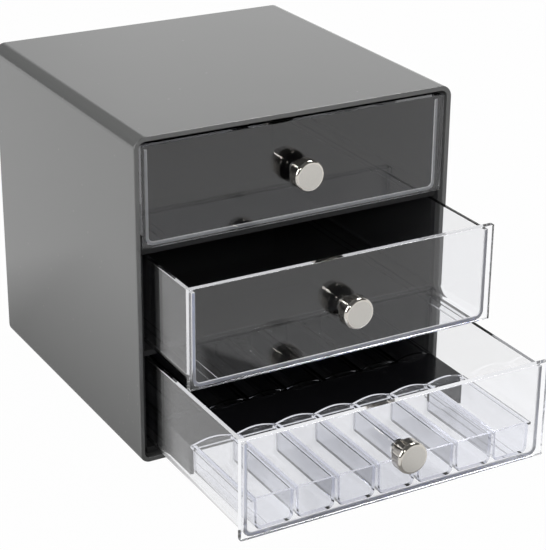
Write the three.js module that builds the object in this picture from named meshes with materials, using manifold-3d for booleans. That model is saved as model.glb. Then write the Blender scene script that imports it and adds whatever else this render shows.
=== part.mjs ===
// Cube organizer with three clear drawers in a grey housing.
// Millimetres, +Z up, +Y to the back. The origin is the middle of the housing's underside.
import * as THREE from 'three';
import { mergeVertices } from 'three/addons/utils/BufferGeometryUtils.js';
import Module from 'manifold-3d';

const wasm = await Module();
wasm.setup();

// Housing
const housingWidth = 170;
const housingDepth = 168;
const housingHeight = 164;
const shellWall = 2.5;
const topCornerRadius = 6;
const bottomCornerRadius = 5;
const backThickness = 2.5;

// Fits
const bondGap = 0.15;
const runningGap = 0.3;
const closedGap = 0.4;
const wallHeadroom = 0.4;
const linerClearance = 0.85;
const rearClearance = 1.5;
const restGap = 0.3;
const cutOverrun = 1;

// Inner carcass
const linerThickness = 2.3;
const grooveDepth = 1;
const grooveFit = 0.15;
const shelfThickness = 2.8;
const baseThickness = 3;

// Drawers
const drawerNames = ['bottom', 'middle', 'top'];
const middleOpening = 46;
const bottomOpening = 94;
const plateThickness = 3;
const plateRecess = 0.6;
const plateOverhang = 2.2;
const plateGap = 2.1;
const drawerWall = 2;
const drawerFloor = 2.2;
const drawerCornerRadius = 4.5;
const runnerHeight = 1;
const runnerWidth = 4;
const runnerInset = 12;

// Knob and its fixing
const knobHeadDiameter = 15.6;
const knobHeadLength = 7;
const knobProjection = 11.3;
const knobFaceDiameter = 12.7;
const knobEdgeDepth = 1.7;
const knobBackRound = 0.6;
const knobNeckDiameter = 9.6;
const screwDiameter = 3.8;
const screwBoreClearance = 0.3;
const plateHoleClearance = 0.8;
const screwHeadDiameter = 7.4;
const screwHeadDepth = 2;
const screwHeadLand = 0.2;
const screwHeadSink = 0.1;
const screwReach = 6;
const boreSpare = 1;
const countersinkDiameter = 8.6;
const recessSpan = 4;
const recessWidth = 0.9;
const recessDepth = 1;

// Insert of the bottom drawer
const wellCount = 7;
const insertHeight = 15.7;
const insertWall = 1.2;
const insertSideClearance = 2.2;
const insertSideRim = 0.6;
const wellSpacing = 1.4;
const wellDraft = 0.3;
const wellCornerRadius = 3;
const archRise = 2;
const frontTrayOffset = 0.4;
const frontTrayLength = 54.6;
const bridgeLength = 26.8;
const bridgeThickness = 2;
const ledgeReach = 4;
const ledgeThickness = 1.2;
const rearTrayOffset = 1;

// Facets
const cornerSteps = 10;
const smallCornerSteps = 5;
const archSteps = 8;
const knobEdgeSteps = 4;
const roundSteps = 36;

// Derived places
const shellInnerHalfWidth = housingWidth / 2 - shellWall;
const linerInnerHalfWidth = shellInnerHalfWidth - bondGap - linerThickness;
const drawerHalfWidth = linerInnerHalfWidth - linerClearance;
const plateHalfWidth = drawerHalfWidth + plateOverhang;

const baseTop = shellWall + bondGap + baseThickness;
const lowestUnderside = baseTop + runningGap + runnerHeight;
const highestPlateTop = housingHeight - shellWall - plateGap;
const plateHeight = (highestPlateTop - lowestUnderside + plateGap) / drawerNames.length - plateGap;
const bayPitch = plateHeight + plateGap;
const shelfDrop = runnerHeight + runningGap;
const drawerHeight = bayPitch - shelfDrop - shelfThickness - wallHeadroom;

const frontFace = -housingDepth / 2;
const plateFrontClosed = frontFace + plateRecess;
const carcassFront = plateFrontClosed + plateThickness + closedGap;
const backPanelFront = housingDepth / 2 - backThickness;
const carcassBack = backPanelFront - bondGap;

// Places inside a drawer: y = 0 is the front of its plate and z = 0 the underside of its box
const boxFront = plateThickness + bondGap;
const boxBack = backPanelFront - rearClearance - plateFrontClosed;
const knobHeight = plateHeight / 2;
const insertBottom = drawerFloor + restGap;
const insertHalfWidth = drawerHalfWidth - drawerWall - insertSideClearance;
const wellPitch = (2 * insertHalfWidth - 2 * insertSideRim) / wellCount;
const wellHalfWidth = (wellPitch - wellSpacing) / 2;
const frontTrayFront = plateThickness + frontTrayOffset;
const frontTrayBack = frontTrayFront + frontTrayLength;
const bridgeFront = frontTrayBack + restGap;
const bridgeBack = bridgeFront + bridgeLength;
const rearTrayFront = bridgeBack + restGap;
const rearTrayBack = boxBack - drawerWall - rearTrayOffset;
const bridgeLow = insertHeight - bridgeThickness;
const bridgeInnerHalfWidth = insertHalfWidth - bridgeThickness;
const ledgeHalfWidth = bridgeInnerHalfWidth - restGap;
const ledgeTop = bridgeLow - restGap;

// Materials
const finish = (color, roughness, metalness, opacity = 1) => {
  const settings = { color, roughness, metalness, opacity, transparent: opacity < 1 };
  return new THREE.MeshStandardMaterial(settings);
};
const greyGloss = () => finish(0x8c8e8d, 0.3, 0);
const blackSatin = () => finish(0x17181a, 0.45, 0);
const blackGloss = () => finish(0x0c0c0d, 0.12, 0);
const clearPlastic = () => finish(0xe9edf4, 0.05, 0, 0.3);
const nickel = () => finish(0xc6c2bb, 0.22, 1);
const steel = () => finish(0xb4b4b6, 0.3, 1);

// Solids
function toSolid(geometry) {
  const bare = geometry.clone();
  bare.deleteAttribute('normal');
  bare.deleteAttribute('uv');
  const merged = mergeVertices(bare);
  return new wasm.Manifold(new wasm.Mesh({
    numProp: 3,
    vertProperties: new Float32Array(merged.attributes.position.array),
    triVerts: new Uint32Array(merged.index.array),
  }));
}

function toGeometry(solid) {
  const { vertProperties, triVerts } = solid.getMesh();
  const geometry = new THREE.BufferGeometry();
  geometry.setAttribute('position', new THREE.BufferAttribute(new Float32Array(vertProperties), 3));
  geometry.setIndex(new THREE.BufferAttribute(new Uint32Array(triVerts), 1));
  geometry.computeVertexNormals();
  return geometry;
}

// A profile drawn in X and Z, run from yFront to yBack
function runBack(shape, yFront, yBack, curveSegments = smallCornerSteps) {
  const geometry = new THREE.ExtrudeGeometry(shape, {
    depth: yBack - yFront,
    bevelEnabled: false,
    curveSegments,
  });
  return geometry.rotateX(Math.PI / 2).translate(0, yBack, 0);
}

function block(xLow, xHigh, yLow, yHigh, zLow, zHigh) {
  const geometry = new THREE.BoxGeometry(xHigh - xLow, yHigh - yLow, zHigh - zLow);
  return geometry.translate((xLow + xHigh) / 2, (yLow + yHigh) / 2, (zLow + zHigh) / 2);
}

function piece(name, geometry, material, parent) {
  const mesh = new THREE.Mesh(geometry, material);
  mesh.name = name;
  parent.add(mesh);
  return mesh;
}

// A rectangle from zLow to zHigh with rounded upper and lower corners, as a shape or a hole
function roundedOutline(path, halfWidth, zLow, zHigh, upperRadius, lowerRadius) {
  path.moveTo(-halfWidth + lowerRadius, zLow);
  path.lineTo(halfWidth - lowerRadius, zLow);
  if (lowerRadius > 0) {
    path.absarc(halfWidth - lowerRadius, zLow + lowerRadius, lowerRadius, -Math.PI / 2, 0);
  }
  path.lineTo(halfWidth, zHigh - upperRadius);
  if (upperRadius > 0) {
    path.absarc(halfWidth - upperRadius, zHigh - upperRadius, upperRadius, 0, Math.PI / 2);
  }
  path.lineTo(-halfWidth + upperRadius, zHigh);
  if (upperRadius > 0) {
    path.absarc(-halfWidth + upperRadius, zHigh - upperRadius, upperRadius, Math.PI / 2, Math.PI);
  }
  path.lineTo(-halfWidth, zLow + lowerRadius);
  if (lowerRadius > 0) {
    path.absarc(-halfWidth + lowerRadius, zLow + lowerRadius, lowerRadius, Math.PI, Math.PI * 1.5);
  }
  return path;
}

// Housing shell: one sleeve of roof, sides and floor, open at the front and the back
function housingShell() {
  const halfWidth = housingWidth / 2;
  const shape = roundedOutline(
    new THREE.Shape(), halfWidth, 0, housingHeight, topCornerRadius, bottomCornerRadius);
  shape.holes.push(roundedOutline(
    new THREE.Path(), shellInnerHalfWidth, shellWall, housingHeight - shellWall,
    topCornerRadius - shellWall, bottomCornerRadius - shellWall));
  return runBack(shape, frontFace, housingDepth / 2, cornerSteps);
}

// Back panel: closes the sleeve flush with its rear edge
function backPanel() {
  const shape = roundedOutline(
    new THREE.Shape(), shellInnerHalfWidth - bondGap,
    shellWall + bondGap, housingHeight - shellWall - bondGap,
    topCornerRadius - shellWall - bondGap, bottomCornerRadius - shellWall - bondGap);
  return runBack(shape, backPanelFront, housingDepth / 2, cornerSteps);
}

// Height of the top face of the shelf that carries drawer number bay
const shelfTop = (bay) => lowestUnderside + bay * bayPitch - shelfDrop;

// Side liner: a panel with a groove for each of the two shelves, side = -1 left or 1 right
function sideLiner(side) {
  const outer = side * (shellInnerHalfWidth - bondGap);
  const inner = side * linerInnerHalfWidth;
  const grooved = side * (linerInnerHalfWidth + grooveDepth);
  const shape = new THREE.Shape();
  shape.moveTo(outer, baseTop + bondGap);
  shape.lineTo(inner, baseTop + bondGap);
  for (let bay = 1; bay < drawerNames.length; bay += 1) {
    const low = shelfTop(bay) - shelfThickness - grooveFit;
    const high = shelfTop(bay) + grooveFit;
    shape.lineTo(inner, low);
    shape.lineTo(grooved, low);
    shape.lineTo(grooved, high);
    shape.lineTo(inner, high);
  }
  shape.lineTo(inner, housingHeight - topCornerRadius - bondGap);
  shape.lineTo(outer, housingHeight - topCornerRadius - bondGap);
  return runBack(shape, carcassFront, carcassBack);
}

// Shelf: slides into the grooves of both liners
function shelf(bay) {
  const halfWidth = linerInnerHalfWidth + grooveDepth - bondGap;
  const top = shelfTop(bay);
  return block(-halfWidth, halfWidth, carcassFront, carcassBack, top - shelfThickness, top);
}

// Base: lies on the floor of the shell and carries the bottom drawer
function base() {
  const halfWidth = housingWidth / 2 - bottomCornerRadius;
  return block(-halfWidth, halfWidth, carcassFront, carcassBack, shellWall + bondGap, baseTop);
}

// Drawer box: floor, sides and back in one moulding, open to the plate, with two runners below
function drawerBox() {
  const outside = roundedOutline(
    new THREE.Shape(), drawerHalfWidth, 0, drawerHeight, 0, drawerCornerRadius);
  const inside = roundedOutline(
    new THREE.Shape(), drawerHalfWidth - drawerWall, drawerFloor, drawerHeight + cutOverrun,
    0, drawerCornerRadius - drawerWall);
  const hollow = runBack(inside, boxFront - cutOverrun, boxBack - drawerWall);
  let solid = toSolid(runBack(outside, boxFront, boxBack)).subtract(toSolid(hollow));
  for (const side of [-1, 1]) {
    const middle = side * (drawerHalfWidth - runnerInset);
    const runner = block(
      middle - runnerWidth / 2, middle + runnerWidth / 2, boxFront, boxBack,
      -runnerHeight, drawerFloor / 2);
    solid = solid.add(toSolid(runner));
  }
  return toGeometry(solid);
}

// Turned pieces lie on the screw's line, which runs along Y
function turned(outline) {
  const points = outline.map(([radius, y]) => new THREE.Vector2(radius, y));
  return new THREE.LatheGeometry(points, roundSteps);
}

function outwards(geometry) {
  const index = geometry.index.array;
  for (let i = 0; i < index.length; i += 3) {
    const swap = index[i];
    index[i] = index[i + 1];
    index[i + 1] = swap;
  }
  geometry.computeVertexNormals();
  return geometry;
}

// Drawer plate: a flat front wider than the box, drilled and countersunk from behind for the screw
function drawerPlate() {
  const plate = block(-plateHalfWidth, plateHalfWidth, 0, plateThickness, 0, plateHeight);
  const holeRadius = (screwDiameter + plateHoleClearance) / 2;
  const sinkRadius = countersinkDiameter / 2;
  const hole = outwards(turned([
    [0, plateThickness + cutOverrun],
    [sinkRadius, plateThickness + cutOverrun],
    [sinkRadius, plateThickness],
    [holeRadius, plateThickness + holeRadius - sinkRadius],
    [holeRadius, -cutOverrun],
    [0, -cutOverrun],
  ]));
  return toGeometry(toSolid(plate).subtract(toSolid(hole.translate(0, 0, knobHeight))));
}

// Knob: a short neck and a thick round head with a rounded edge and a flat face, bored from behind
function knob() {
  const boreRadius = screwDiameter / 2 + screwBoreClearance;
  const boreEnd = -bondGap - screwReach - boreSpare;
  const headRadius = knobHeadDiameter / 2;
  const neckRadius = knobNeckDiameter / 2;
  const faceRadius = knobFaceDiameter / 2;
  const face = -knobProjection;
  const headBack = face + knobHeadLength;
  const outline = [
    [0, boreEnd],
    [boreRadius, boreEnd],
    [boreRadius, -bondGap],
    [neckRadius, -bondGap],
    [neckRadius, headBack],
    [headRadius - knobBackRound, headBack],
    [headRadius, headBack - knobBackRound],
  ];
  for (let step = 0; step <= knobEdgeSteps; step += 1) {
    const turn = (Math.PI / 2) * (step / knobEdgeSteps);
    outline.push([
      faceRadius + (headRadius - faceRadius) * Math.cos(turn),
      face + knobEdgeDepth * (1 - Math.sin(turn)),
    ]);
  }
  outline.push([0, face]);
  return outwards(turned(outline));
}

// Screw: countersunk head with a cross recess, just below the back of the plate
function knobScrew() {
  const tip = -bondGap - screwReach;
  const headBack = plateThickness - screwHeadSink;
  const headRadius = screwHeadDiameter / 2;
  const body = outwards(turned([
    [0, tip],
    [0, headBack],
    [headRadius, headBack],
    [headRadius, headBack - screwHeadLand],
    [screwDiameter / 2, headBack - screwHeadDepth],
    [screwDiameter / 2, tip],
    [0, tip],
  ]));
  let solid = toSolid(body);
  const low = headBack - recessDepth;
  const high = headBack + cutOverrun;
  const half = recessSpan / 2;
  const thin = recessWidth / 2;
  solid = solid.subtract(toSolid(block(-half, half, low, high, -thin, thin)));
  solid = solid.subtract(toSolid(block(-thin, thin, low, high, -half, half)));
  return toGeometry(solid);
}

// Outline of one well, from its floor up, narrowing downwards by its draft
function wellOutline(middle, halfWidth, bottom, top, radius) {
  const foot = halfWidth - wellDraft;
  const shape = new THREE.Shape();
  shape.moveTo(middle - foot + radius, bottom);
  shape.lineTo(middle + foot - radius, bottom);
  shape.absarc(middle + foot - radius, bottom + radius, radius, -Math.PI / 2, 0);
  shape.lineTo(middle + halfWidth, top);
  shape.lineTo(middle - halfWidth, top);
  shape.lineTo(middle - foot, bottom + radius);
  shape.absarc(middle - foot + radius, bottom + radius, radius, Math.PI, Math.PI * 1.5);
  return shape;
}

// Row of arches that stands on the deck, one over each well
function archRow(yFront, yBack) {
  const shape = new THREE.Shape();
  const deck = insertHeight;
  const start = -wellCount * wellPitch / 2;
  shape.moveTo(start, deck - insertWall);
  shape.lineTo(-start, deck - insertWall);
  for (let well = wellCount - 1; well >= 0; well -= 1) {
    const left = start + well * wellPitch;
    for (let step = 0; step < archSteps; step += 1) {
      const share = 1 - step / archSteps;
      const rise = archRise * Math.sin(Math.PI * share);
      shape.lineTo(left + wellPitch * share, deck + rise);
    }
  }
  shape.lineTo(start, deck);
  return runBack(shape, yFront, yBack);
}

// Ledge: stands out of a tray's wall, below the deck of the bridge that lies on it
function bridgeLedge(yLow, yHigh) {
  return block(
    -ledgeHalfWidth, ledgeHalfWidth, yLow, yHigh, ledgeTop - ledgeThickness, ledgeTop);
}

// Tray: a thin deck with a row of wells below it, with arches and a ledge beside the bridge
function wellTray(yFront, yBack, archFront, ledge) {
  const deckLow = insertHeight - insertWall;
  let solid = toSolid(block(
    -insertHalfWidth, insertHalfWidth, yFront, yBack, deckLow, insertHeight));
  solid = solid.add(toSolid(archRow(archFront, archFront + insertWall)));
  solid = solid.add(toSolid(ledge));
  const hollows = [];
  for (let well = 0; well < wellCount; well += 1) {
    const middle = (well - (wellCount - 1) / 2) * wellPitch;
    const outside = wellOutline(middle, wellHalfWidth, 0, insertHeight, wellCornerRadius);
    const inside = wellOutline(
      middle, wellHalfWidth - insertWall, insertWall, insertHeight + cutOverrun,
      wellCornerRadius - insertWall);
    solid = solid.add(toSolid(runBack(outside, yFront, yBack)));
    hollows.push(runBack(inside, yFront + insertWall, yBack - insertWall));
  }
  for (const hollow of hollows) {
    solid = solid.subtract(toSolid(hollow));
  }
  return toGeometry(solid);
}

// Bridge: a flat deck on the ledges of both trays, with a panel down to the floor at each end
function trayBridge() {
  const shape = new THREE.Shape();
  shape.moveTo(-insertHalfWidth, 0);
  shape.lineTo(-bridgeInnerHalfWidth, 0);
  shape.lineTo(-bridgeInnerHalfWidth, bridgeLow);
  shape.lineTo(bridgeInnerHalfWidth, bridgeLow);
  shape.lineTo(bridgeInnerHalfWidth, 0);
  shape.lineTo(insertHalfWidth, 0);
  shape.lineTo(insertHalfWidth, insertHeight);
  shape.lineTo(-insertHalfWidth, insertHeight);
  return runBack(shape, bridgeFront, bridgeBack);
}

// Assembly
const organizer = new THREE.Group();
piece('housing_shell', housingShell(), greyGloss(), organizer);
piece('back_panel', backPanel(), greyGloss(), organizer);
piece('left_liner', sideLiner(-1), blackSatin(), organizer);
piece('right_liner', sideLiner(1), blackSatin(), organizer);
piece('base_panel', base(), blackSatin(), organizer);
piece('lower_shelf', shelf(1), blackSatin(), organizer);
piece('upper_shelf', shelf(2), blackSatin(), organizer);

const openings = { bottom: bottomOpening, middle: middleOpening, top: 0 };
drawerNames.forEach((name, bay) => {
  const drawer = new THREE.Group();
  drawer.position.set(0, plateFrontClosed - openings[name], lowestUnderside + bay * bayPitch);
  organizer.add(drawer);
  piece(`${name}_drawer_box`, drawerBox(), clearPlastic(), drawer);
  piece(`${name}_drawer_front`, drawerPlate(), clearPlastic(), drawer);

  const fixing = new THREE.Group();
  fixing.position.set(0, 0, knobHeight);
  drawer.add(fixing);
  piece(`${name}_knob`, knob(), nickel(), fixing);
  piece(`${name}_knob_screw`, knobScrew(), steel(), fixing);

  if (name === 'bottom') {
    const insert = new THREE.Group();
    insert.position.set(0, 0, insertBottom);
    drawer.add(insert);
    const frontLedge = bridgeLedge(frontTrayBack - insertWall / 2, frontTrayBack + ledgeReach);
    const rearLedge = bridgeLedge(rearTrayFront - ledgeReach, rearTrayFront + insertWall / 2);
    const frontTray = wellTray(
      frontTrayFront, frontTrayBack, frontTrayBack - insertWall, frontLedge);
    const rearTray = wellTray(rearTrayFront, rearTrayBack, rearTrayFront, rearLedge);
    piece('front_well_tray', frontTray, clearPlastic(), insert);
    piece('tray_bridge', trayBridge(), blackGloss(), insert);
    piece('rear_well_tray', rearTray, clearPlastic(), insert);
  }
});

export default organizer;
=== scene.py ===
import math

import bmesh
import bpy
from mathutils import Matrix, Vector


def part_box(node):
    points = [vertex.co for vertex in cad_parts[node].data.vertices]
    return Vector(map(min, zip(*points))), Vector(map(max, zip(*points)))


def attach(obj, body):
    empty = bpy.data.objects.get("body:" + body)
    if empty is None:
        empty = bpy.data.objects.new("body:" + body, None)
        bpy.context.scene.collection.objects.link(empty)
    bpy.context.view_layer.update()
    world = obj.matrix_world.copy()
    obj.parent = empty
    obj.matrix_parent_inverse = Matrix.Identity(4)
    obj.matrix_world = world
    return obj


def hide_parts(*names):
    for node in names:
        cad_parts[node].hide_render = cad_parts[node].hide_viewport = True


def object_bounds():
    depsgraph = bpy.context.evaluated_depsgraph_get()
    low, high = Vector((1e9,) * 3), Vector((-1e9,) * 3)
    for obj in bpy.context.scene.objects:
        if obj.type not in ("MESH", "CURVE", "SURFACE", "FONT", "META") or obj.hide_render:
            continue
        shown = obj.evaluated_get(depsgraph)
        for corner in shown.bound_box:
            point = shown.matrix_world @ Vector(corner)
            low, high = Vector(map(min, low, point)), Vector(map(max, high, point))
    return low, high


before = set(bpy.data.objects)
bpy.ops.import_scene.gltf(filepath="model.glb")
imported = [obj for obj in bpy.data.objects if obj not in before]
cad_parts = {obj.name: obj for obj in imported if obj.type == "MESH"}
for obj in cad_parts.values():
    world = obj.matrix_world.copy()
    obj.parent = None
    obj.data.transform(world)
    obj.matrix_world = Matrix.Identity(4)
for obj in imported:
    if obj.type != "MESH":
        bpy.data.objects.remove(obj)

# Lengths are in metres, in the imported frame: +X right, +Y to the back, +Z up.
MM = 0.001
X, Y, Z = 0, 1, 2
cad_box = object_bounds()

# Housing
SHELL_WALL = 2.5 * MM
SHELL_TOP_RADIUS = 6 * MM
SHELL_BOTTOM_RADIUS = 5 * MM
SHELL_RIM_ROUND = 0.55 * MM
PANEL_ROUND = 0.4 * MM
BACK_ROUND = 0.5 * MM

# Drawers
DRAWERS = ("bottom", "middle", "top")
BOX_WALL = 2 * MM
BOX_FLOOR = 2.2 * MM
BOX_CORNER = 4.5 * MM
BOX_BACK_ROUND = 0.8 * MM
BOX_RIM_ROUND = 0.4 * MM
RUNNER_WIDTH = 4 * MM
RUNNER_INSET = 12 * MM
RUNNER_SETBACK = 1 * MM
RUNNER_ROUND = 0.3 * MM
PLATE_ROUND = 0.3 * MM
# Radii of the hole for the screw, at the front and at the rim of its countersink
PLATE_HOLE = 2.3 * MM
PLATE_SINK = 4.3 * MM
# How far a tool reaches past what it cuts
CUT_OVERRUN = 1 * MM

# Knobs and screws. The neck, head, face, bore and shank are given as radii.
KNOB_NECK = 4.8 * MM
KNOB_HEAD = 7.8 * MM
KNOB_FACE = 6.35 * MM
KNOB_HEAD_LENGTH = 7 * MM
KNOB_BACK_ROUND = 0.9 * MM
KNOB_EDGE_DEPTH = 1.7 * MM
KNOB_BORE = 2.2 * MM
KNOB_BORE_DEPTH = 7 * MM
SCREW_SHANK = 1.9 * MM
SCREW_HEAD_DEPTH = 2 * MM
SCREW_HEAD_LAND = 0.2 * MM
RECESS_SPAN = 4 * MM
RECESS_WIDTH = 0.9 * MM
RECESS_DEPTH = 1 * MM

# Insert
WELLS = 7
INSERT_HEIGHT = 15.7 * MM
INSERT_WALL = 1.2 * MM
INSERT_RIM = 0.6 * MM
WELL_SPACING = 1.4 * MM
WELL_DRAFT = 0.3 * MM
WELL_CORNER = 3 * MM
ARCH_RISE = 2 * MM
BRIDGE_THICKNESS = 2 * MM
BRIDGE_ROUND = 0.5 * MM
LEDGE_SIDE_GAP = 0.3 * MM
LEDGE_REACH = 4 * MM
LEDGE_DROP = 2.3 * MM
LEDGE_THICKNESS = 1.2 * MM

# How many flats make up each curve
TURNED_SIDES = 96
SLEEVE_STEPS = 14
ARCH_STEPS = 12
BOX_STEPS = 10
KNOB_EDGE_STEPS = 8
WELL_STEPS = 6
KNOB_BACK_STEPS = 4
SOFT_STEPS = 3
SLIGHT_STEPS = 2

# An edge counts where its faces meet at more than SHARP, and shading is smooth up to SMOOTH.
# A face points along an axis if its normal has more than SQUARE of it. Two places are the
# same within TINY.
SHARP = math.radians(30)
SMOOTH = math.radians(32)
SQUARE = 0.99
TINY = 0.01 * MM

# Moulded surfaces
WAVE_DETAIL = 1
GRAIN_DETAIL = 3
SPECK_RADIUS = 0.16
CLEAR_IOR = 1.49

# How often a ray is mirrored inside clear plastic, and how many surfaces it meets, before it
# goes straight on
MIRRORED_IN_EDGE = 2.5
MIRRORED_IN_TRAY = 1.5
SURFACES_PASSED = 9.5
# How much of it each further surface lets on: plain, and in each drawer's front and box and in
# the rear tray, which lies in the dark of its bay, a painted shade for the dark around them
PLAIN_WAY = 0.95
FRONT_PAINTED_EDGE_LIGHT = {"top": 0.22, "middle": 0.78, "bottom": 0.95}
BOX_PAINTED_EDGE_LIGHT = {"top": 0.95, "middle": 0.62, "bottom": 0.76}
REAR_TRAY_PAINTED_EDGE_LIGHT = 0.3

# Camera, solved from the housing's edges and the drawers' corners
CAMERA_PLACE = Vector((-401.9, -768.1, 427.5)) * MM
CAMERA_AZIMUTH = math.radians(29.58)
CAMERA_ELEVATION = math.radians(23.60)
CAMERA_ROLL = math.radians(0.54)
CAMERA_LENS = 117.9
CAMERA_NEAR = 0.05
CAMERA_FAR = 50

# Studio floor: its size, how white the camera sees it, and its own tone and roughness under
# the lamps
FLOOR_SIZE = 12
FLOOR_WHITE = 0.985
FLOOR_TONE = 0.5
FLOOR_ROUGHNESS = 0.8
# In a gloss it goes from the shade beside the housing to white past its reach, and so much
# sooner ahead of the housing
SHADE_TONE = 0.33
SHADE_REACH = 0.095
WHITE_AHEAD = 7
MIRRORED_WHITE = 0.92
# What a gloss meets in the sky goes from the first tone to the second, between two heights
# and between two places from left to right. Each pair is a place and its tone.
SKY_BAND = ((0.36, 0.95), (0.44, 0.12))
SKY_SIDES = ((0.08, 0.12), (0.40, 0.95))
# How much the sky lights the object, and how much of its tones clear plastic leaves out
SKY_STRENGTH = 0.2
THROUGH_CLEAR = 0.6

# Softboxes
KEY_PLACE = Vector((-0.56, -1.17, 0.71))
KEY_SIZE = 0.14
KEY_POWER = 2
TOP_PLACE = Vector((0.63, 0.19, 1.31))
TOP_SIZE = 0.5
TOP_POWER = 9.6
SIDE_PLACE = Vector((-1.2, -0.1, 0.6))
SIDE_SIZE = 0.8
SIDE_POWER = 9


# Modelling helpers

def only(piece):
    """Makes piece the one selected, active object."""
    bpy.ops.object.select_all(action="DESELECT")
    piece.select_set(True)
    bpy.context.view_layer.objects.active = piece


def named(name):
    """Names the primitive that was just added, and settles its place in its mesh."""
    piece = bpy.context.active_object
    piece.name = name
    piece.data.name = name
    bpy.ops.object.transform_apply(location=True, rotation=True, scale=True)
    return piece


def block(name, low, high):
    """A box between two corners."""
    low, high = Vector(low), Vector(high)
    bpy.ops.object.select_all(action="DESELECT")
    bpy.ops.mesh.primitive_cube_add(size=1, location=(low + high) / 2, scale=high - low)
    return named(name)


def edit(piece):
    """Opens a piece for work on its mesh."""
    only(piece)
    bpy.ops.object.mode_set(mode="EDIT")


def leave_edit():
    """Puts the mesh back in its piece."""
    bpy.ops.object.mode_set(mode="OBJECT")


def pick(piece, kind, wanted):
    """In edit mode, selects the vertices, edges or faces for which wanted is true."""
    bpy.ops.mesh.select_mode(type=kind)
    bpy.ops.mesh.select_all(action="DESELECT")
    mesh = bmesh.from_edit_mesh(piece.data)
    mesh.normal_update()
    items = {"VERT": mesh.verts, "EDGE": mesh.edges, "FACE": mesh.faces}[kind]
    for item in items:
        if wanted(item):
            item.select_set(True)
    mesh.select_flush_mode()
    bmesh.update_edit_mesh(piece.data)


def edge_lies(edge, axis):
    """True if the edge runs along this axis."""
    way = edge.verts[1].co - edge.verts[0].co
    return abs(abs(way[axis]) - way.length) < TINY


def at(edge, axis, value):
    """True if both ends of the edge have this coordinate."""
    return all(abs(corner.co[axis] - value) < TINY for corner in edge.verts)


def bevel(width, segments):
    """Rounds what is selected."""
    bpy.ops.mesh.bevel(offset=width, offset_type="OFFSET", segments=segments, affect="EDGES",
                       clamp_overlap=True)


def apply_modifier(piece, kind, **settings):
    """Adds a modifier with these settings and settles it in the mesh."""
    only(piece)
    modifier = piece.modifiers.new(kind.lower(), kind)
    for name, value in settings.items():
        setattr(modifier, name, value)
    bpy.ops.object.modifier_apply(modifier=modifier.name)


def unite(piece, other, operation="UNION"):
    """Joins other to piece, or cuts it away, and removes other."""
    apply_modifier(piece, "BOOLEAN", operation=operation, object=other, solver="EXACT")
    bpy.data.objects.remove(other)


def join(pieces):
    """Puts the meshes of all pieces in the first."""
    only(pieces[0])
    for piece in pieces:
        piece.select_set(True)
    bpy.ops.object.join()
    return bpy.context.active_object


def merge_points(piece):
    """Merges the points that cuts left on top of each other."""
    edit(piece)
    bpy.ops.mesh.select_all(action="SELECT")
    bpy.ops.mesh.remove_doubles(threshold=TINY)
    leave_edit()


def round_edges(piece, width):
    """Rounds every sharp edge of a piece."""
    apply_modifier(piece, "BEVEL", width=width, segments=SOFT_STEPS, limit_method="ANGLE",
                   angle_limit=SHARP, use_clamp_overlap=True)


def smooth(piece):
    """Smooth shading that leaves the flat faces flat."""
    only(piece)
    bpy.ops.object.shade_smooth_by_angle(angle=SMOOTH)
    apply_modifier(piece, "WEIGHTED_NORMAL", mode="FACE_AREA", weight=100, keep_sharp=True)


def place(piece, look, body, slot, *nodes):
    """Gives a finished piece its material and its body, and hides the nodes that it stands for."""
    piece.data.materials.clear()
    piece.data.materials.append(look)
    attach(piece, body)
    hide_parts(*nodes)


# Materials

def new_group(name, inputs, outputs):
    """A shader node group that takes numbers, each with a default, and gives numbers."""
    group = bpy.data.node_groups.new(name, "ShaderNodeTree")
    for label, default in inputs:
        socket = group.interface.new_socket(label, in_out="INPUT", socket_type="NodeSocketFloat")
        socket.default_value = default
    for label in outputs:
        group.interface.new_socket(label, in_out="OUTPUT", socket_type="NodeSocketFloat")
    return group


def worked_out(nodes, links, operation, *values):
    """The result of a Math node on values that are each a socket or a number."""
    node = nodes.new("ShaderNodeMath")
    node.operation = operation
    for socket, value in zip(node.inputs, values):
        if isinstance(value, (int, float)):
            socket.default_value = value
        else:
            links.new(value, socket)
    return node.outputs[0]


def largest_of(nodes, links, first, *others):
    """The largest of several masks or values."""
    for other in others:
        first = worked_out(nodes, links, "MAXIMUM", first, other)
    return first


def moulded_surface():
    """What injection moulding leaves: a slow waviness, a fine grain and a few specks of dust."""
    group = new_group(
        "moulded_surface",
        (("Wave Size", 40.0), ("Grain Size", 900.0), ("Speck Size", 260.0), ("Speck Share", 0.02)),
        ("Wave", "Grain", "Specks"))
    nodes, links = group.nodes, group.links
    given = nodes.new("NodeGroupInput").outputs
    result = nodes.new("NodeGroupOutput").inputs
    where = nodes.new("ShaderNodeTexCoord").outputs["Object"]
    wave = nodes.new("ShaderNodeTexNoise")
    wave.inputs["Detail"].default_value = WAVE_DETAIL
    grain = nodes.new("ShaderNodeTexNoise")
    grain.inputs["Detail"].default_value = GRAIN_DETAIL
    cells = nodes.new("ShaderNodeTexVoronoi")
    for texture, size in ((wave, "Wave Size"), (grain, "Grain Size"), (cells, "Speck Size")):
        links.new(where, texture.inputs["Vector"])
        links.new(given[size], texture.inputs["Scale"])
    chosen = nodes.new("ShaderNodeSeparateColor")
    links.new(cells.outputs["Color"], chosen.inputs["Color"])
    near = worked_out(nodes, links, "LESS_THAN", cells.outputs["Distance"], SPECK_RADIUS)
    rare = worked_out(nodes, links, "LESS_THAN", chosen.outputs["Red"], given["Speck Share"])
    links.new(wave.outputs["Fac"], result["Wave"])
    links.new(grain.outputs["Fac"], result["Grain"])
    links.new(worked_out(nodes, links, "MULTIPLY", near, rare), result["Specks"])
    return group


MOULDED = moulded_surface()


def new_material(name):
    """A material with its nodes, its links and its Principled shader."""
    look = bpy.data.materials.new(name)
    look.use_nodes = True
    return look, look.node_tree.nodes, look.node_tree.links, look.node_tree.nodes["Principled BSDF"]


def add_group(nodes, group, **values):
    """Puts a node group in a material, with some of its inputs set."""
    node = nodes.new("ShaderNodeGroup")
    node.node_tree = group
    for label, value in values.items():
        node.inputs[label.replace("_", " ")].default_value = value
    return node


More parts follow.
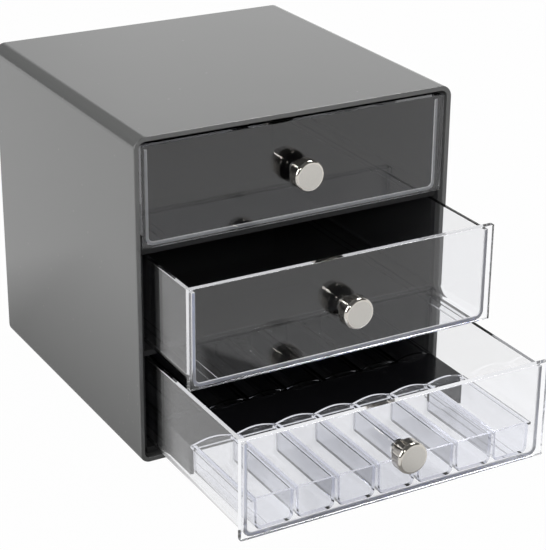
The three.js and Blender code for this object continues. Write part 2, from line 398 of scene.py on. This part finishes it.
def spread(nodes, links, source, low, high, start=0, end=1):
    """A value that goes from low to high while source goes from start to end."""
    span = nodes.new("ShaderNodeMapRange")
    for label, value in (("From Min", start), ("From Max", end), ("To Min", low), ("To Max", high)):
        span.inputs[label].default_value = value
    links.new(source, span.inputs["Value"])
    return span.outputs["Result"]


def bump(nodes, links, height, shader, distance):
    """Gives a shader the relief that a height of 0 to 1 has over this distance."""
    node = nodes.new("ShaderNodeBump")
    node.inputs["Distance"].default_value = distance
    links.new(height, node.inputs["Height"])
    links.new(node.outputs["Normal"], shader.inputs["Normal"])


def two_tones(nodes, links, mask, low, high, socket):
    """Gives a socket a colour that goes from low to high with the mask."""
    mix = nodes.new("ShaderNodeMix")
    mix.data_type = "RGBA"
    mix.inputs["A"].default_value = (*low, 1)
    mix.inputs["B"].default_value = (*high, 1)
    links.new(mask, mix.inputs["Factor"])
    links.new(mix.outputs["Result"], socket)


def mixed(nodes, links, share, shader, other):
    """A shader that gives way to the other by a share."""
    mix = nodes.new("ShaderNodeMixShader")
    links.new(share, mix.inputs["Fac"])
    links.new(shader, mix.inputs[1])
    links.new(other, mix.inputs[2])
    return mix.outputs["Shader"]


def solid_plastic(name, tone, dust, rough, wave_depth, grain_depth, ior=1.5):
    """An opaque plastic: tone with specks of dust, roughness from rough[0] to rough[1]."""
    look, nodes, links, shader = new_material(name)
    surface = add_group(nodes, MOULDED)
    two_tones(nodes, links, surface.outputs["Specks"], tone, dust, shader.inputs["Base Color"])
    links.new(spread(nodes, links, surface.outputs["Wave"], *rough), shader.inputs["Roughness"])
    height = worked_out(nodes, links, "MULTIPLY_ADD", surface.outputs["Grain"],
                        grain_depth / wave_depth, surface.outputs["Wave"])
    bump(nodes, links, height, shader, wave_depth)
    shader.inputs["IOR"].default_value = ior
    return look


def clear_plastic(name, tint, absorbed, density, rough, wave_depth, cloudy=0.0,
                  painted_edge_light=PLAIN_WAY, mirrored=MIRRORED_IN_EDGE):
    """Clear plastic, cloudy by a share. Rays from lamps go straight through to what is inside,
    and rays that were thrown to and fro within an edge leave it for the white around it,
    dimmed at each further surface by a tone given per piece: a painted shade for pieces that
    lie in the dark."""
    look, nodes, links, shader = new_material(name)
    surface = add_group(nodes, MOULDED, Wave_Size=25.0)
    shader.inputs["Transmission Weight"].default_value = 1 - cloudy
    shader.inputs["IOR"].default_value = CLEAR_IOR
    shader.inputs["Base Color"].default_value = (*tint, 1)
    links.new(spread(nodes, links, surface.outputs["Wave"], *rough), shader.inputs["Roughness"])
    bump(nodes, links, surface.outputs["Wave"], shader, wave_depth)
    path = nodes.new("ShaderNodeLightPath").outputs
    lit = largest_of(nodes, links, path["Is Shadow Ray"], path["Is Diffuse Ray"])
    # The way out's tone for rays thrown to and fro is a painted shade; rays from lamps pass at the
    # plain tone.
    open_way_painted_light = nodes.new("ShaderNodeBsdfTransparent")
    two_tones(nodes, links, lit, (painted_edge_light,) * 3, (PLAIN_WAY,) * 3, open_way_painted_light.inputs["Color"])
    straight = largest_of(
        nodes, links, lit,
        worked_out(nodes, links, "GREATER_THAN", path["Glossy Depth"], mirrored),
        worked_out(nodes, links, "GREATER_THAN", path["Ray Depth"], SURFACES_PASSED))
    volume = nodes.new("ShaderNodeVolumeAbsorption")
    volume.inputs["Color"].default_value = (*absorbed, 1)
    volume.inputs["Density"].default_value = density
    result = nodes["Material Output"].inputs
    links.new(mixed(nodes, links, straight, shader.outputs["BSDF"], open_way_painted_light.outputs["BSDF"]),
              result["Surface"])
    links.new(volume.outputs["Volume"], result["Volume"])
    return look


def metal(name, tone, bright, rough, grain_depth):
    """A plated metal: its grain takes it from tone to bright."""
    look, nodes, links, shader = new_material(name)
    surface = add_group(nodes, MOULDED, Grain_Size=1400.0, Wave_Size=90.0)
    shader.inputs["Metallic"].default_value = 1.0
    two_tones(nodes, links, surface.outputs["Grain"], tone, bright, shader.inputs["Base Color"])
    links.new(spread(nodes, links, surface.outputs["Wave"], *rough), shader.inputs["Roughness"])
    bump(nodes, links, surface.outputs["Grain"], shader, grain_depth)
    return look


shell_grey = solid_plastic(
    "grey_gloss_plastic", tone=(0.140, 0.142, 0.140), dust=(0.18, 0.18, 0.18),
    rough=(0.10, 0.15), wave_depth=0.02 * MM, grain_depth=0.002 * MM, ior=1.7)
carcass_black = solid_plastic(
    "black_satin_plastic", tone=(0.040, 0.040, 0.041), dust=(0.06, 0.06, 0.06),
    rough=(0.48, 0.6), wave_depth=0.02 * MM, grain_depth=0.006 * MM, ior=1.22)
bridge_black = solid_plastic(
    "black_gloss_plastic", tone=(0.006, 0.006, 0.007), dust=(0.03, 0.03, 0.03),
    rough=(0.08, 0.14), wave_depth=0.01 * MM, grain_depth=0.0003 * MM)
drawer_plastic = {
    "tint": (0.99, 0.992, 1.0), "absorbed": (0.78, 0.83, 1.0), "density": 6.0,
    "rough": (0.0, 0.02), "wave_depth": 0.004 * MM}
# Copies of one clear plastic for each drawer's front and box and for the rear tray, each with a
# painted shade on its edges for the dark it lies in.
front_clear_painted_light = {name: clear_plastic(
    name + "_front_plastic_painted_edge_light", painted_edge_light=FRONT_PAINTED_EDGE_LIGHT[name], **drawer_plastic) for name in DRAWERS}
box_clear_painted_light = {name: clear_plastic(
    name + "_box_plastic_painted_edge_light", painted_edge_light=BOX_PAINTED_EDGE_LIGHT[name], **drawer_plastic) for name in DRAWERS}
front_tray_clear = clear_plastic(
    "front_tray_plastic", tint=(0.985, 0.988, 1.0), absorbed=(0.68, 0.73, 1.0), density=32.0,
    rough=(0.0, 0.01), wave_depth=0.003 * MM, mirrored=MIRRORED_IN_TRAY)
rear_tray_clear_painted_shade = clear_plastic(
    "rear_tray_plastic_painted_shade", tint=(0.985, 0.988, 1.0), absorbed=(0.70, 0.75, 1.0), density=24.0,
    rough=(0.0, 0.01), wave_depth=0.003 * MM, painted_edge_light=REAR_TRAY_PAINTED_EDGE_LIGHT,
    mirrored=MIRRORED_IN_TRAY)
bonded_edge = clear_plastic(
    "bonded_drawer_edge", tint=(0.80, 0.82, 0.85), absorbed=(0.80, 0.86, 1.0), density=9.0,
    rough=(0.35, 0.5), wave_depth=0.004 * MM, cloudy=0.42)
# The inner faces of each box's front edge: a cemented joint whose near-white cloudy tone is a
# painted highlight for the light its rounding catches.
joint_painted_highlight = clear_plastic(
    "painted_highlight_in_the_joint", tint=(0.96, 0.965, 0.98), absorbed=(0.80, 0.86, 1.0), density=9.0,
    rough=(0.3, 0.45), wave_depth=0.004 * MM, cloudy=0.95)
knob_polish = metal(
    "polished_nickel", tone=(0.62, 0.59, 0.54), bright=(0.66, 0.63, 0.58),
    rough=(0.03, 0.06), grain_depth=0.0003 * MM)
knob_satin = metal(
    "satin_nickel", tone=(0.562, 0.545, 0.51), bright=(0.63, 0.61, 0.575),
    rough=(0.26, 0.34), grain_depth=0.003 * MM)
screw_steel = metal(
    "zinc_plated_steel", tone=(0.42, 0.42, 0.42), bright=(0.55, 0.55, 0.54),
    rough=(0.22, 0.34), grain_depth=0.004 * MM)


# Housing

def sleeve_block(name, low, high, top_radius, bottom_radius):
    """A block whose long edges are rounded, with one radius above and one below."""
    piece = block(name, low, high)
    edit(piece)
    pick(piece, "EDGE", lambda edge: edge_lies(edge, Y) and at(edge, Z, high.z))
    bevel(top_radius, SLEEVE_STEPS)
    pick(piece, "EDGE", lambda edge: edge_lies(edge, Y) and at(edge, Z, low.z))
    bevel(bottom_radius, SLEEVE_STEPS)
    leave_edit()
    return piece


def is_rim(edge, planes):
    """True for an edge between a face square to Y, at one of the planes, and another face."""
    if not any(at(edge, Y, plane) for plane in planes):
        return False
    facing = [abs(face.normal.y) > SQUARE for face in edge.link_faces]
    return any(facing) and not all(facing)


def round_rims(piece, planes, width):
    """Rounds the edges around a sleeve's or panel's front and rear faces."""
    edit(piece)
    pick(piece, "EDGE", lambda edge: is_rim(edge, planes))
    bevel(width, SOFT_STEPS)
    leave_edit()


def model_shell():
    """The sleeve of roof, sides and floor, open at the front and the back."""
    low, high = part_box("housing_shell")
    shell = sleeve_block("housing_sleeve", low, high, SHELL_TOP_RADIUS, SHELL_BOTTOM_RADIUS)
    wall = Vector((SHELL_WALL, -CUT_OVERRUN, SHELL_WALL))
    bore = sleeve_block("bore", low + wall, high - wall, SHELL_TOP_RADIUS - SHELL_WALL,
                        SHELL_BOTTOM_RADIUS - SHELL_WALL)
    unite(shell, bore, "DIFFERENCE")
    round_rims(shell, (low.y, high.y), SHELL_RIM_ROUND)
    smooth(shell)
    place(shell, shell_grey, "housing", "shell", "housing_shell")


def model_back():
    """The panel that closes the sleeve behind."""
    low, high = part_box("back_panel")
    gap = low.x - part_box("housing_shell")[0].x - SHELL_WALL
    back = sleeve_block("rear_panel", low, high, SHELL_TOP_RADIUS - SHELL_WALL - gap,
                        SHELL_BOTTOM_RADIUS - SHELL_WALL - gap)
    round_rims(back, (low.y, high.y), BACK_ROUND)
    smooth(back)
    place(back, shell_grey, "housing", "shell", "back_panel")


def model_panels():
    """Shelves and base: sheets with softened edges. The liners keep their solids."""
    for node in ("base_panel", "lower_shelf", "upper_shelf"):
        panel = block(node + "_sheet", *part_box(node))
        round_edges(panel, PANEL_ROUND)
        smooth(panel)
        place(panel, carcass_black, "housing", "carcass", node)
    for node in ("left_liner", "right_liner"):
        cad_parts[node].data.materials.clear()
        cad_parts[node].data.materials.append(carcass_black)


# Drawers

def is_corner(edge):
    """True for an edge where two faces meet at more than a slight angle."""
    return len(edge.link_faces) == 2 and edge.calc_face_angle() > SHARP


def trough_block(name, low, high, corner, back_round):
    """A block with rounded long lower edges and a softened outline at its back."""
    piece = block(name, low, high)
    edit(piece)
    pick(piece, "EDGE", lambda edge: edge_lies(edge, Y) and at(edge, Z, low[Z]))
    bevel(corner, BOX_STEPS)
    pick(piece, "EDGE", lambda edge: at(edge, Y, high[Y]) and not at(edge, Z, high[Z]))
    bevel(back_round, SOFT_STEPS)
    leave_edit()
    return piece


def model_box(name):
    """The clear box behind the plate: one moulding with two runners under its floor."""
    low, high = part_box(name + "_drawer_box")
    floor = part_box(name + "_drawer_front")[0].z
    box = trough_block(name + "_drawer_moulding", (low.x, low.y, floor), high,
                       BOX_CORNER, BOX_BACK_ROUND)
    hollow = trough_block(
        "hollow", (low.x + BOX_WALL, low.y - CUT_OVERRUN, floor + BOX_FLOOR),
        (high.x - BOX_WALL, high.y - BOX_WALL, high.z + CUT_OVERRUN),
        BOX_CORNER - BOX_WALL, BOX_BACK_ROUND)
    unite(box, hollow, "DIFFERENCE")
    edit(box)
    pick(box, "EDGE", lambda edge: is_corner(edge) and (
        at(edge, Y, low.y) or at(edge, Z, high.z)))
    bevel(BOX_RIM_ROUND, SOFT_STEPS)
    leave_edit()
    for side in (-1, 1):
        middle = side * (high.x - RUNNER_INSET)
        runner = block(
            "runner",
            (middle - RUNNER_WIDTH / 2, low.y + RUNNER_SETBACK, low.z),
            (middle + RUNNER_WIDTH / 2, high.y - 2 * BOX_BACK_ROUND, floor + BOX_FLOOR / 2))
        edit(runner)
        pick(runner, "EDGE", lambda edge: at(edge, Z, low.z))
        bevel(RUNNER_ROUND, SLIGHT_STEPS)
        leave_edit()
        unite(box, runner)
    smooth(box)
    place(box, box_clear_painted_light[name], name + "_drawer", "clear_drawer", name + "_drawer_box")
    box.data.materials.append(bonded_edge)
    # The inner faces of the front edge take the painted highlight of the joint.
    box.data.materials.append(joint_painted_highlight)
    for side in box.data.polygons:
        if is_face_at(side, low.y):
            side.material_index = 1
        elif side.center.y < low.y + BOX_RIM_ROUND and is_inner(side, low, high, floor):
            side.material_index = 2


def is_face_at(side, y):
    """True for a flat front face at this place."""
    return side.normal.y < -SQUARE and abs(side.center.y - y) < TINY


def is_inner(side, low, high, floor):
    """True for a face of a drawer box's front edge that looks into the drawer."""
    spot = side.center
    return (low.x + BOX_WALL / 2 < spot.x < high.x - BOX_WALL / 2
            and floor + BOX_FLOOR / 2 < spot.z)


def axis_of(name):
    """Where the knob's screw goes through the plate: its x and z."""
    low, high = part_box(name + "_knob")
    return (low.x + high.x) / 2, (low.z + high.z) / 2


def model_plate(name):
    """The clear front, drilled, and countersunk from behind."""
    low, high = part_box(name + "_drawer_front")
    plate = block(name + "_clear_front", low, high)
    edit(plate)
    bpy.ops.mesh.select_all(action="SELECT")
    bevel(PLATE_ROUND, SOFT_STEPS)
    leave_edit()
    hole = turned("hole", *axis_of(name), [
        (PLATE_HOLE, low.y - CUT_OVERRUN), (PLATE_HOLE, high.y + PLATE_HOLE - PLATE_SINK),
        (PLATE_SINK, high.y), (PLATE_SINK, high.y + CUT_OVERRUN)])
    unite(plate, hole, "DIFFERENCE")
    merge_points(plate)
    smooth(plate)
    place(plate, front_clear_painted_light[name], name + "_drawer", "clear_front", name + "_drawer_front")


# Knobs and their fixings

def turned(name, x, z, rings):
    """A turned piece on a line along Y, from rings of (radius, y)."""
    radius, y = rings[0]
    bpy.ops.object.select_all(action="DESELECT")
    bpy.ops.mesh.primitive_circle_add(
        vertices=TURNED_SIDES, radius=radius, fill_type="NGON", location=(x, y, z),
        rotation=(math.pi / 2, 0, 0))
    piece = named(name)
    edit(piece)
    bpy.ops.mesh.select_mode(type="FACE")
    bpy.ops.mesh.select_all(action="SELECT")
    for next_radius, next_y in rings[1:]:
        bpy.ops.mesh.extrude_region_move(TRANSFORM_OT_translate={"value": (0, next_y - y, 0)})
        grow = next_radius / radius
        bpy.ops.transform.resize(value=(grow, 1, grow), center_override=(x, next_y, z))
        radius, y = next_radius, next_y
    bpy.ops.mesh.select_all(action="SELECT")
    bpy.ops.mesh.normals_make_consistent(inside=False)
    leave_edit()
    return piece


def rounded_corner(inner, outer, start, end, steps):
    """Rings of a quarter round that goes from radius outer at y = start to inner at y = end."""
    rings = []
    for step in range(steps + 1):
        turn = math.pi / 2 * step / steps
        rings.append((inner + (outer - inner) * math.cos(turn),
                      start + (end - start) * math.sin(turn)))
    return rings


def model_knob(name):
    """A round head with a satin face, on a short neck that is bored for the screw."""
    low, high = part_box(name + "_knob")
    x, z = axis_of(name)
    seat, face = high.y, low.y
    head_back = face + KNOB_HEAD_LENGTH
    rings = [(KNOB_BORE, seat - KNOB_BORE_DEPTH), (KNOB_BORE, seat), (KNOB_NECK, seat),
             (KNOB_NECK, head_back)]
    rings += reversed(rounded_corner(
        KNOB_HEAD - KNOB_BACK_ROUND, KNOB_HEAD, head_back - KNOB_BACK_ROUND, head_back,
        KNOB_BACK_STEPS))
    rings += rounded_corner(KNOB_FACE, KNOB_HEAD, face + KNOB_EDGE_DEPTH, face, KNOB_EDGE_STEPS)
    knob = turned(name + "_round_knob", x, z, rings)
    smooth(knob)
    place(knob, knob_polish, name + "_drawer", "knob", name + "_knob")
    knob.data.materials.append(knob_satin)
    for side in knob.data.polygons:
        if is_face_at(side, face):
            side.material_index = 1


def model_screw(name):
    """A countersunk screw with a cross recess."""
    low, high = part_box(name + "_knob_screw")
    x, z = axis_of(name)
    head = high.x - x
    screw = turned(name + "_countersunk_screw", x, z, [
        (SCREW_SHANK, low.y), (SCREW_SHANK, high.y - SCREW_HEAD_DEPTH),
        (head, high.y - SCREW_HEAD_LAND), (head, high.y)])
    wide, thin = RECESS_SPAN / 2, RECESS_WIDTH / 2
    for across, up in ((wide, thin), (thin, wide)):
        slot = block("recess", (x - across, high.y - RECESS_DEPTH, z - up),
                     (x + across, high.y + RECESS_DEPTH, z + up))
        unite(screw, slot, "DIFFERENCE")
    smooth(screw)
    place(screw, screw_steel, name + "_drawer", "screw", name + "_knob_screw")


# Insert

def well_block(name, middle, half, low_y, high_y, bottom, top, corner):
    """One well as a solid: rounded along its foot, narrowing downwards by its draft."""
    piece = block(name, (middle - half, low_y, bottom), (middle + half, high_y, top))
    edit(piece)
    pick(piece, "EDGE", lambda edge: edge_lies(edge, Y) and at(edge, Z, bottom))
    bevel(corner, WELL_STEPS)
    pick(piece, "VERT", lambda point: point.co.z < bottom + corner + TINY)
    narrow = (half - WELL_DRAFT) / half
    bpy.ops.transform.resize(value=(narrow, 1, 1), center_override=(middle, 0, 0))
    leave_edit()
    return piece


def arch_row(low_x, high_x, low_y, high_y, deck):
    """A strip on the deck with one arch over each well."""
    pitch = (high_x - low_x - 2 * INSERT_RIM) / WELLS
    strips = []
    for well in range(WELLS):
        left = low_x + INSERT_RIM + well * pitch
        strip = block("arch", (left, low_y, deck - INSERT_WALL / 2), (left + pitch, high_y, deck))
        edit(strip)
        pick(strip, "EDGE", lambda edge: edge_lies(edge, X))
        bpy.ops.mesh.subdivide(number_cuts=ARCH_STEPS - 1)
        for step in range(1, ARCH_STEPS):
            across = left + pitch * step / ARCH_STEPS
            pick(strip, "VERT", lambda point: (
                abs(point.co.x - across) < TINY and point.co.z > deck - TINY))
            rise = ARCH_RISE * math.sin(math.pi * step / ARCH_STEPS)
            bpy.ops.transform.translate(value=(0, 0, rise))
        leave_edit()
        strips.append(strip)
    row = join(strips)
    merge_points(row)
    edit(row)
    pick(row, "FACE", lambda face: abs(face.normal.x) > SQUARE and
         low_x + INSERT_RIM + TINY < face.calc_center_median().x < high_x - INSERT_RIM - TINY)
    bpy.ops.mesh.delete(type="FACE")
    leave_edit()
    return row


def model_tray(node, arch_at_back):
    """A row of wells below a thin deck, with arches and a ledge along the wall by the bridge."""
    low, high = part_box(node)
    deck = low.z + INSERT_HEIGHT
    inset = BRIDGE_THICKNESS + LEDGE_SIDE_GAP
    ledge_low = Vector((low.x + inset, low.y, deck - LEDGE_DROP - LEDGE_THICKNESS))
    ledge_high = Vector((high.x - inset, high.y, deck - LEDGE_DROP))
    if arch_at_back:
        high.y -= LEDGE_REACH
        ledge_low.y = high.y - INSERT_WALL / 2
    else:
        low.y += LEDGE_REACH
        ledge_high.y = low.y + INSERT_WALL / 2
    tray = block(node + "_moulding", (low.x, low.y, deck - INSERT_WALL), (high.x, high.y, deck))
    pitch = (high.x - low.x - 2 * INSERT_RIM) / WELLS
    half = (pitch - WELL_SPACING) / 2
    outsides, insides = [], []
    for well in range(WELLS):
        middle = (well - (WELLS - 1) / 2) * pitch
        outsides.append(well_block(
            "well", middle, half, low.y, high.y, low.z, deck - INSERT_WALL / 2, WELL_CORNER))
        insides.append(well_block(
            "hollow", middle, half - INSERT_WALL, low.y + INSERT_WALL, high.y - INSERT_WALL,
            low.z + INSERT_WALL, deck + INSERT_WALL, WELL_CORNER - INSERT_WALL))
    unite(tray, join(outsides))
    if arch_at_back:
        arches = arch_row(low.x, high.x, high.y - INSERT_WALL, high.y, deck)
    else:
        arches = arch_row(low.x, high.x, low.y, low.y + INSERT_WALL, deck)
    unite(tray, arches)
    unite(tray, block("ledge", ledge_low, ledge_high))
    unite(tray, join(insides), "DIFFERENCE")
    merge_points(tray)
    smooth(tray)
    # The rear tray takes the copy with a painted shade on its edges.
    look = front_tray_clear if arch_at_back else rear_tray_clear_painted_shade
    place(tray, look, "well_insert", "clear_tray", node)


def model_bridge():
    """The flat black deck between the two rows, with a panel down to the floor at each end."""
    low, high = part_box("tray_bridge")
    bridge = block("tray_bridge_deck", low, high)
    inside = Vector((BRIDGE_THICKNESS, -CUT_OVERRUN, 0))
    underside = Vector((BRIDGE_THICKNESS, -CUT_OVERRUN, BRIDGE_THICKNESS))
    foot = Vector((low.x, low.y, low.z - CUT_OVERRUN))
    unite(bridge, block("underside", foot + inside, high - underside), "DIFFERENCE")
    round_edges(bridge, BRIDGE_ROUND)
    smooth(bridge)
    place(bridge, bridge_black, "well_insert", "bridge", "tray_bridge")


# Studio

def seen_directly(nodes, links):
    """What a ray is, and 1 for rays from the camera, from metal and through clear plastic."""
    path = nodes.new("ShaderNodeLightPath").outputs
    return path, largest_of(nodes, links, path["Is Camera Ray"], path["Is Glossy Ray"],
                            path["Is Transmission Ray"])


def split_place(nodes, links, kind):
    """The X, Y and Z of a place, in one kind of texture coordinates."""
    where = nodes.new("ShaderNodeTexCoord")
    parts = nodes.new("ShaderNodeSeparateXYZ")
    links.new(where.outputs[kind], parts.inputs["Vector"])
    return parts.outputs


def shade_around(nodes, links):
    """How bright the floor looks in a gloss: shaded beside the housing, white further out and
    ahead of the line where the camera sees it mirrored in the housing's front edge."""
    low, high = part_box("housing_shell")
    slant = (low.y - CAMERA_PLACE.y) / (low.x - CAMERA_PLACE.x)
    parts = split_place(nodes, links, "Object")
    side = worked_out(nodes, links, "ABSOLUTE", parts["X"])
    beside = worked_out(nodes, links, "SUBTRACT", side, high.x)
    behind = worked_out(nodes, links, "SUBTRACT", parts["Y"], high.y)
    front = worked_out(nodes, links, "MULTIPLY_ADD", beside, slant, low.y)
    ahead = worked_out(nodes, links, "SUBTRACT", front, parts["Y"])
    ahead = worked_out(nodes, links, "MULTIPLY", ahead, WHITE_AHEAD)
    far = largest_of(nodes, links, beside, behind, ahead)
    return spread(nodes, links, far, SHADE_TONE, MIRRORED_WHITE, end=SHADE_REACH)


def make_floor():
    """A pale floor that takes the object's shadow, and is white where it is seen directly."""
    bpy.ops.object.select_all(action="DESELECT")
    bpy.ops.mesh.primitive_plane_add(size=FLOOR_SIZE)
    floor = named("studio_floor")
    look, nodes, links, shader = new_material("pale_floor")
    shader.inputs["Base Color"].default_value = (FLOOR_TONE, FLOOR_TONE, FLOOR_TONE, 1)
    shader.inputs["Roughness"].default_value = FLOOR_ROUGHNESS
    path, seen = seen_directly(nodes, links)
    # A ray that was mirrored once comes from the housing's gloss, and meets the shaded floor.
    once = worked_out(nodes, links, "COMPARE", path["Glossy Depth"], 1, 0.5)
    strength = nodes.new("ShaderNodeMix")
    strength.data_type = "FLOAT"
    strength.inputs["A"].default_value = 1
    links.new(once, strength.inputs["Factor"])
    links.new(shade_around(nodes, links), strength.inputs["B"])
    white = nodes.new("ShaderNodeEmission")
    links.new(strength.outputs["Result"], white.inputs["Strength"])
    share = worked_out(nodes, links, "MULTIPLY", seen, FLOOR_WHITE)
    links.new(mixed(nodes, links, share, shader.outputs["BSDF"], white.outputs["Emission"]),
              nodes["Material Output"].inputs["Surface"])
    floor.data.materials.append(look)


def tone_by(nodes, links, source, stops):
    """A value that goes from the first tone to the second between two places of source."""
    (start, low), (end, high) = stops
    return spread(nodes, links, source, low, high, start, end)


def make_world():
    """White behind the object. Metal and gloss meet white low on one side, dark elsewhere."""
    world = bpy.data.worlds.new("studio")
    bpy.context.scene.world = world
    world.use_nodes = True
    nodes, links = world.node_tree.nodes, world.node_tree.links
    background = nodes["Background"]
    path, seen = seen_directly(nodes, links)
    links.new(spread(nodes, links, seen, SKY_STRENGTH, 1), background.inputs["Strength"])
    parts = split_place(nodes, links, "Generated")
    tone = worked_out(nodes, links, "MINIMUM", tone_by(nodes, links, parts["Z"], SKY_BAND),
                      tone_by(nodes, links, parts["X"], SKY_SIDES))
    share = worked_out(nodes, links, "MULTIPLY_ADD", path["Is Transmission Ray"], -THROUGH_CLEAR,
                       path["Is Glossy Ray"])
    mix = nodes.new("ShaderNodeMix")
    mix.data_type = "RGBA"
    mix.inputs["A"].default_value = (1, 1, 1, 1)
    links.new(share, mix.inputs["Factor"])
    links.new(tone, mix.inputs["B"])
    links.new(mix.outputs["Result"], background.inputs["Color"])


# Lamps and camera

def make_lamp(name, spot, size, power):
    """A square softbox that looks at the middle of the object."""
    data = bpy.data.lights.new(name, "AREA")
    data.size = size
    data.energy = power
    lamp = bpy.data.objects.new(name, data)
    bpy.context.scene.collection.objects.link(lamp)
    lamp.location = spot
    aim = (cad_box[0] + cad_box[1]) / 2 - spot
    lamp.rotation_euler = aim.to_track_quat("-Z", "Y").to_euler()


def make_camera():
    """The camera at the photograph's place and angle, turned a little about its own line."""
    ahead = Vector((
        math.sin(CAMERA_AZIMUTH) * math.cos(CAMERA_ELEVATION),
        math.cos(CAMERA_AZIMUTH) * math.cos(CAMERA_ELEVATION),
        -math.sin(CAMERA_ELEVATION)))
    level = Vector((math.cos(CAMERA_AZIMUTH), -math.sin(CAMERA_AZIMUTH), 0))
    upright = level.cross(ahead)
    right = level * math.cos(CAMERA_ROLL) + upright * math.sin(CAMERA_ROLL)
    up = upright * math.cos(CAMERA_ROLL) - level * math.sin(CAMERA_ROLL)
    data = bpy.data.cameras.new("camera")
    data.lens = CAMERA_LENS
    data.clip_start = CAMERA_NEAR
    data.clip_end = CAMERA_FAR
    camera = bpy.data.objects.new("camera", data)
    bpy.context.scene.collection.objects.link(camera)
    camera.matrix_world = Matrix.Translation(CAMERA_PLACE) @ Matrix(
        (right, up, -ahead)).transposed().to_4x4()
    bpy.context.scene.camera = camera


make_camera()
model_shell()
model_back()
model_panels()
for drawer in DRAWERS:
    model_box(drawer)
    model_plate(drawer)
    model_knob(drawer)
    model_screw(drawer)
model_tray("front_well_tray", arch_at_back=True)
model_bridge()
model_tray("rear_well_tray", arch_at_back=False)
make_floor()
make_world()
make_lamp("key_softbox", KEY_PLACE, KEY_SIZE, KEY_POWER)
make_lamp("top_softbox", TOP_PLACE, TOP_SIZE, TOP_POWER)
make_lamp("side_softbox", SIDE_PLACE, SIDE_SIZE, SIDE_POWER)
bpy.context.scene.view_settings.view_transform = "Standard"
